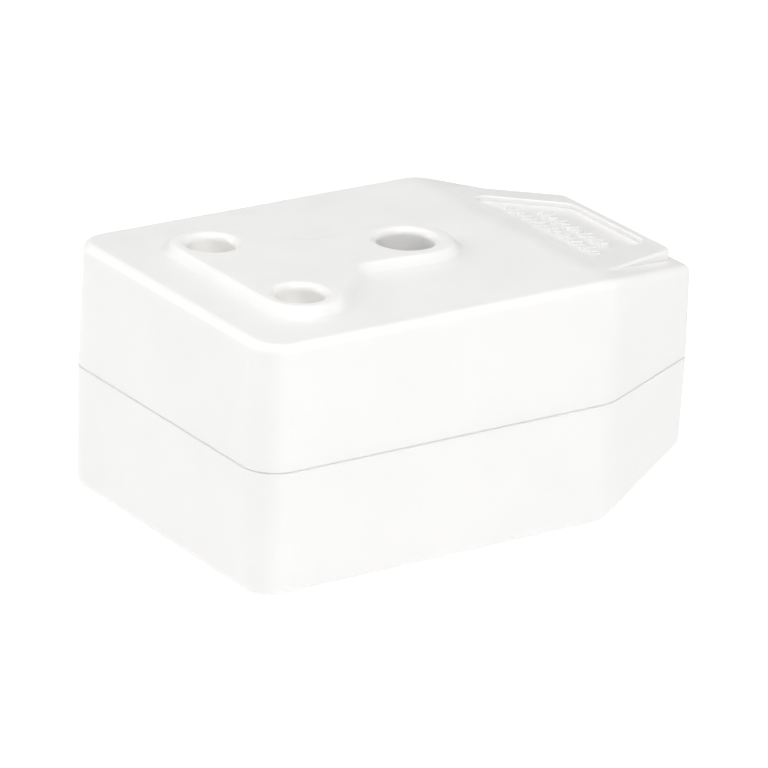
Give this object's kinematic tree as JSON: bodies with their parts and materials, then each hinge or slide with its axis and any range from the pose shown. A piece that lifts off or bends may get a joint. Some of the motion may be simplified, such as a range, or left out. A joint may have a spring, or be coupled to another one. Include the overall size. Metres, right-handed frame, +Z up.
{
  "type": "in-line mains socket coupler",
  "caption": "Double-faced in-line mains socket for round-pin plugs, a block of two moulded shells with shutters and a tapered cable nose.",
  "frame": {"origin": "under the middle of the coupler's box, on the surface it lies on", "axes": "+X along the length towards the cable nose, +Z up out of the upper socket; the shape is symmetric about Y = 0"},
  "size_m": [0.09, 0.0578, 0.0442],
  "materials": {
    "shell": "white moulded, fine satin",
    "inner_plastic": "off-white moulded",
    "shutter_plastic": "white moulded",
    "brass": "pressed and turned",
    "zinc_steel": "zinc plated",
    "spring_steel": "drawn wire",
    "grommet_rubber": "soft white"
  },
  "bodies": {
    "root": {"upper_shell": "shell", "lower_shell": "shell", "shell_screws": "zinc_steel", "live_strip": "brass", "neutral_strip": "brass", "earth_strip": "brass", "live_terminal": "brass", "neutral_terminal": "brass", "earth_terminal": "brass", "terminal_screws": "zinc_steel", "terminal_rivets": "brass", "cord_clamp": "inner_plastic", "cord_clamp_screws": "zinc_steel", "cable_grommet": "grommet_rubber", "upper_shutter_spring": "spring_steel", "upper_guide_plate": "inner_plastic", "upper_guide_screws": "zinc_steel", "upper_sleeve_rings": "spring_steel", "upper_live_sleeve": "brass", "upper_neutral_sleeve": "brass", "upper_earth_sleeve": "brass", "lower_shutter_spring": "spring_steel", "lower_guide_plate": "inner_plastic", "lower_guide_screws": "zinc_steel", "lower_sleeve_rings": "spring_steel", "lower_live_sleeve": "brass", "lower_neutral_sleeve": "brass", "lower_earth_sleeve": "brass"},
    "upper_shutter": {"upper_shutter": "shutter_plastic"},
    "lower_shutter": {"lower_shutter": "shutter_plastic"}
  },
  "joints": [
    {"name": "upper_shutter_slide", "type": "slide", "parent": "root", "child": "upper_shutter", "axis": [-1, 0, 0], "range_m": [0, 0.0086], "stiffness_N_per_m": 60, "springref_m": -0.006, "deforming": ["upper_shutter_spring"]},
    {"name": "lower_shutter_slide", "type": "slide", "parent": "root", "child": "lower_shutter", "axis": [1, 0, 0], "range_m": [0, 0.0086], "stiffness_N_per_m": 60, "springref_m": -0.006, "deforming": ["lower_shutter_spring"]}
  ]
}
